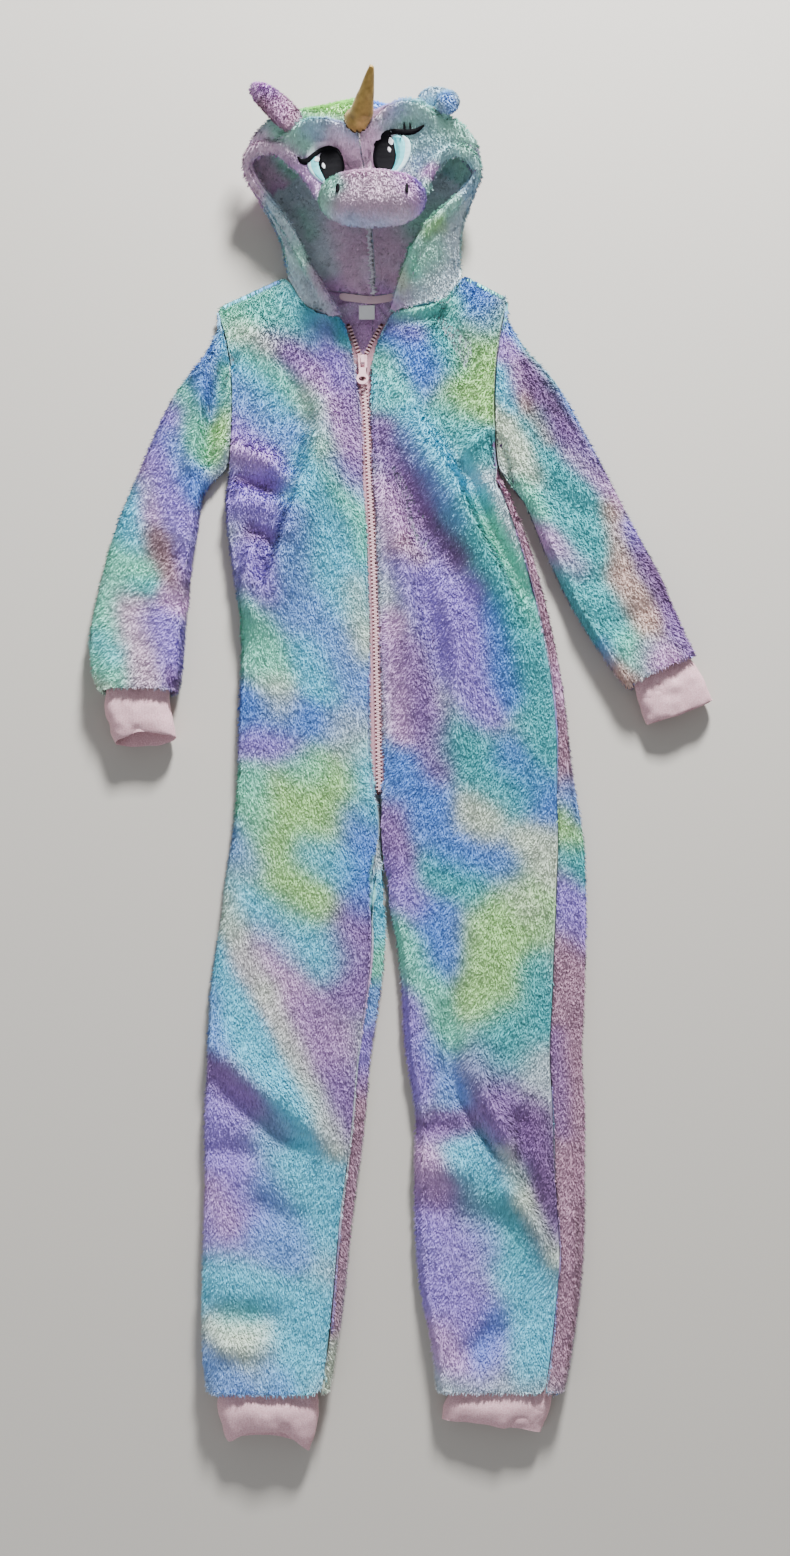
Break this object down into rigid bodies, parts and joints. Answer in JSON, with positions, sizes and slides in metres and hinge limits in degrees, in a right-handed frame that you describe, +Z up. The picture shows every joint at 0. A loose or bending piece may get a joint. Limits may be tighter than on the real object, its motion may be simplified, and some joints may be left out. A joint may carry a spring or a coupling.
{
  "type": "child's unicorn onesie",
  "caption": "Child's hooded plush onesie laid out flat on its back, with a unicorn face on the hood, a front zip and jersey cuffs.",
  "frame": {"origin": "middle of the laid-out garment's footprint, on the floor", "axes": "+Y towards the hood, +X towards the wearer's left, +Z up from the floor"},
  "size_m": [0.579, 1.2362, 0.1297],
  "materials": {
    "plush_aqua": "long-pile plush, tie-dyed",
    "plush_lilac": "long-pile plush, tie-dyed",
    "plush_blue": "long-pile plush, tie-dyed",
    "plush_mint": "long-pile plush, tie-dyed",
    "plush_mauve": "long-pile plush, tie-dyed",
    "muzzle_plush": "stuffed plush",
    "jersey_pink": "rib jersey",
    "zip_tape_pink": "woven tape",
    "gold_cloth": "metallic satin",
    "eye_embroidery": "satin stitch",
    "nostril_embroidery": "satin stitch",
    "label_white": "woven satin",
    "zip_pink_metal": "painted"
  },
  "bodies": {
    "garment": {"front_right": "plush_aqua", "front_left": "plush_lilac", "back_right": "plush_mauve", "back_left": "plush_mauve", "sleeve_right": "plush_blue", "sleeve_left": "plush_blue", "wrist_cuff_right": "jersey_pink", "wrist_cuff_left": "jersey_pink", "ankle_cuff_right": "jersey_pink", "ankle_cuff_left": "jersey_pink", "hood_right": "plush_mint", "hood_left": "plush_mint", "muzzle": "muzzle_plush", "horn": "gold_cloth", "eye_right": "eye_embroidery", "eye_left": "eye_embroidery", "nostril_right": "nostril_embroidery", "nostril_left": "nostril_embroidery", "ear_right": "plush_lilac", "ear_left": "plush_blue", "zip_tape_right": "zip_tape_pink", "zip_tape_left": "zip_tape_pink", "zip_slider": "zip_pink_metal", "neck_tape": "jersey_pink", "label": "label_white"},
    "pull": {"zip_pull": "zip_pink_metal"}
  },
  "joints": [
    {"name": "zip_pull_hinge", "type": "hinge", "parent": "garment", "child": "pull", "pos_m": [-0.03624, 0.36571, 0.0149], "axis": [-1, 0, 0], "range_deg": [0, 170]}
  ]
}
